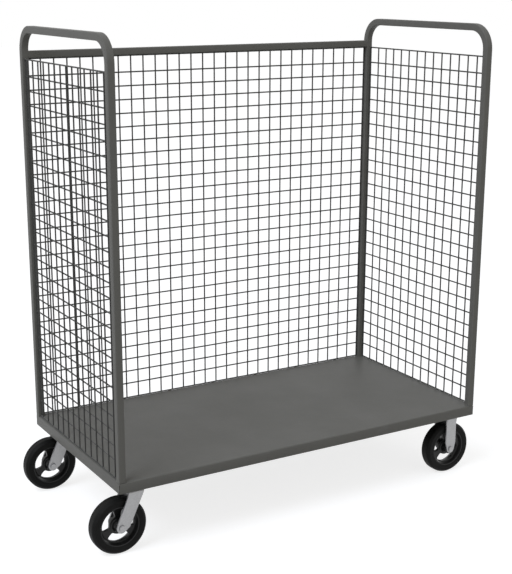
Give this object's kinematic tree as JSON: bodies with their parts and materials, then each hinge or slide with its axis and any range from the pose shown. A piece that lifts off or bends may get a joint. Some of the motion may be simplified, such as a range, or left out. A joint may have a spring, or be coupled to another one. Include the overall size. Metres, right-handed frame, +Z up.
{
  "type": "wire mesh stock cart",
  "caption": "Stock cart with a flanged steel deck, inverted-U tube ends, welded mesh on three sides and large rubber-tyred casters, two swivel and two rigid, open at the front.",
  "frame": {"origin": "on the floor, under the middle of the overall length and width, trailing wheels included", "axes": "+Z up; +X along the cart from the swivel casters to the rigid ones; +Y from the open front to the mesh back"},
  "size_m": [1.6276, 0.762, 1.7399],
  "materials": {
    "frame_paint": "satin",
    "mesh_paint": "satin",
    "zinc_plate": "satin",
    "oiled_steel": "satin",
    "black_iron": "matte",
    "black_rubber": "matte"
  },
  "bodies": {
    "cart": {"deck_pan": "frame_paint", "caster_channel_left": "frame_paint", "caster_channel_right": "frame_paint", "deck_stiffener_front": "frame_paint", "deck_stiffener_back": "frame_paint", "end_frame_left": "frame_paint", "end_frame_right": "frame_paint", "back_rail": "frame_paint", "back_mesh_uprights": "mesh_paint", "back_mesh_crosswires": "mesh_paint", "left_mesh_uprights": "mesh_paint", "left_mesh_crosswires": "mesh_paint", "right_mesh_uprights": "mesh_paint", "right_mesh_crosswires": "mesh_paint", "front_left_plate": "zinc_plate", "front_left_kingpin": "zinc_plate", "front_left_kingpin_nut": "zinc_plate", "back_left_plate": "zinc_plate", "back_left_kingpin": "zinc_plate", "back_left_kingpin_nut": "zinc_plate", "front_right_frame": "zinc_plate", "front_right_axle_bolt": "zinc_plate", "front_right_axle_nut": "zinc_plate", "front_right_axle_bushing": "oiled_steel", "back_right_frame": "zinc_plate", "back_right_axle_bolt": "zinc_plate", "back_right_axle_nut": "zinc_plate", "back_right_axle_bushing": "oiled_steel"},
    "front_left_swivel": {"front_left_ball_race": "oiled_steel", "front_left_fork": "zinc_plate", "front_left_axle_bolt": "zinc_plate", "front_left_axle_nut": "zinc_plate", "front_left_axle_bushing": "oiled_steel"},
    "back_left_swivel": {"back_left_ball_race": "oiled_steel", "back_left_fork": "zinc_plate", "back_left_axle_bolt": "zinc_plate", "back_left_axle_nut": "zinc_plate", "back_left_axle_bushing": "oiled_steel"},
    "front_left_wheel": {"front_left_hub": "black_iron", "front_left_tyre": "black_rubber", "front_left_roller_bearing": "oiled_steel"},
    "back_left_wheel": {"back_left_hub": "black_iron", "back_left_tyre": "black_rubber", "back_left_roller_bearing": "oiled_steel"},
    "front_right_wheel": {"front_right_hub": "black_iron", "front_right_tyre": "black_rubber", "front_right_roller_bearing": "oiled_steel"},
    "back_right_wheel": {"back_right_hub": "black_iron", "back_right_tyre": "black_rubber", "back_right_roller_bearing": "oiled_steel"}
  },
  "joints": [
    {"name": "front_left_swivel_turn", "type": "hinge", "parent": "cart", "child": "front_left_swivel", "pos_m": [-0.6586, -0.3127, 0.22], "axis": [0, 0, 1], "continuous": true},
    {"name": "back_left_swivel_turn", "type": "hinge", "parent": "cart", "child": "back_left_swivel", "pos_m": [-0.6586, 0.3127, 0.22], "axis": [0, 0, 1], "continuous": true},
    {"name": "front_left_wheel_spin", "type": "hinge", "parent": "front_left_swivel", "child": "front_left_wheel", "pos_m": [-0.7122, -0.3127, 0.1016], "axis": [0, 1, 0], "continuous": true},
    {"name": "back_left_wheel_spin", "type": "hinge", "parent": "back_left_swivel", "child": "back_left_wheel", "pos_m": [-0.7122, 0.3127, 0.1016], "axis": [0, 1, 0], "continuous": true},
    {"name": "front_right_wheel_spin", "type": "hinge", "parent": "cart", "child": "front_right_wheel", "pos_m": [0.7122, -0.3127, 0.1016], "axis": [0, 1, 0], "continuous": true},
    {"name": "back_right_wheel_spin", "type": "hinge", "parent": "cart", "child": "back_right_wheel", "pos_m": [0.7122, 0.3127, 0.1016], "axis": [0, 1, 0], "continuous": true}
  ]
}
